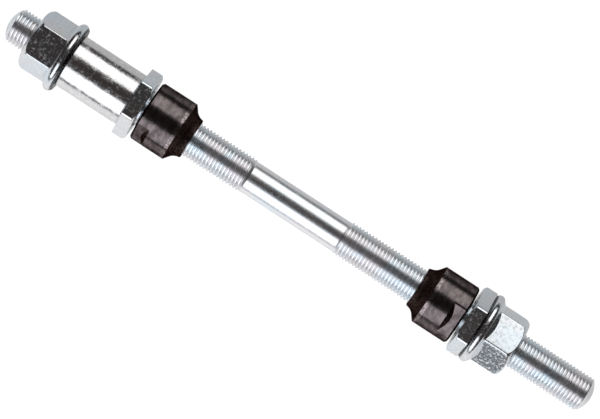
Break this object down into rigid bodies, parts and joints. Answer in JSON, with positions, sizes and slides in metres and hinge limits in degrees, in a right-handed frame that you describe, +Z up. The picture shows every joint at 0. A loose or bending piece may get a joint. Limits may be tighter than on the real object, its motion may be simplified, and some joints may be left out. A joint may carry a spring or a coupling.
{
  "type": "rear hub axle",
  "caption": "Threaded bicycle rear hub axle with bearing cones, locknuts, a spacer sleeve and flanged wheel nuts.",
  "frame": {"origin": "middle of the axle's length, on its centre line", "axes": "+X along the axle to the far, non-drive end; +Z up; the freewheel side is at -X"},
  "size_m": [0.175, 0.0194, 0.0194],
  "materials": {
    "zinc_plate": "bright zinc plate on cold-formed steel, faintly blue",
    "turned_zinc": "turned steel tube with fine brush lines under clear zinc plate",
    "black_steel": "hardened bearing steel, satin brown-black, with a ground race"
  },
  "bodies": {
    "axle_set": {"axle": "zinc_plate", "spacer": "turned_zinc", "drive_locknut": "zinc_plate", "drive_cone": "black_steel", "far_cone": "black_steel", "far_locknut": "zinc_plate"},
    "drive_nut": {"drive_wheel_nut": "zinc_plate"},
    "far_nut": {"far_wheel_nut": "zinc_plate"}
  },
  "joints": [
    {"name": "drive_nut_travel", "type": "slide", "parent": "axle_set", "child": "drive_nut", "axis": [-1, 0, 0], "range_m": [0, 0.0183]},
    {"name": "far_nut_travel", "type": "slide", "parent": "axle_set", "child": "far_nut", "axis": [1, 0, 0], "range_m": [0, 0.034]}
  ]
}
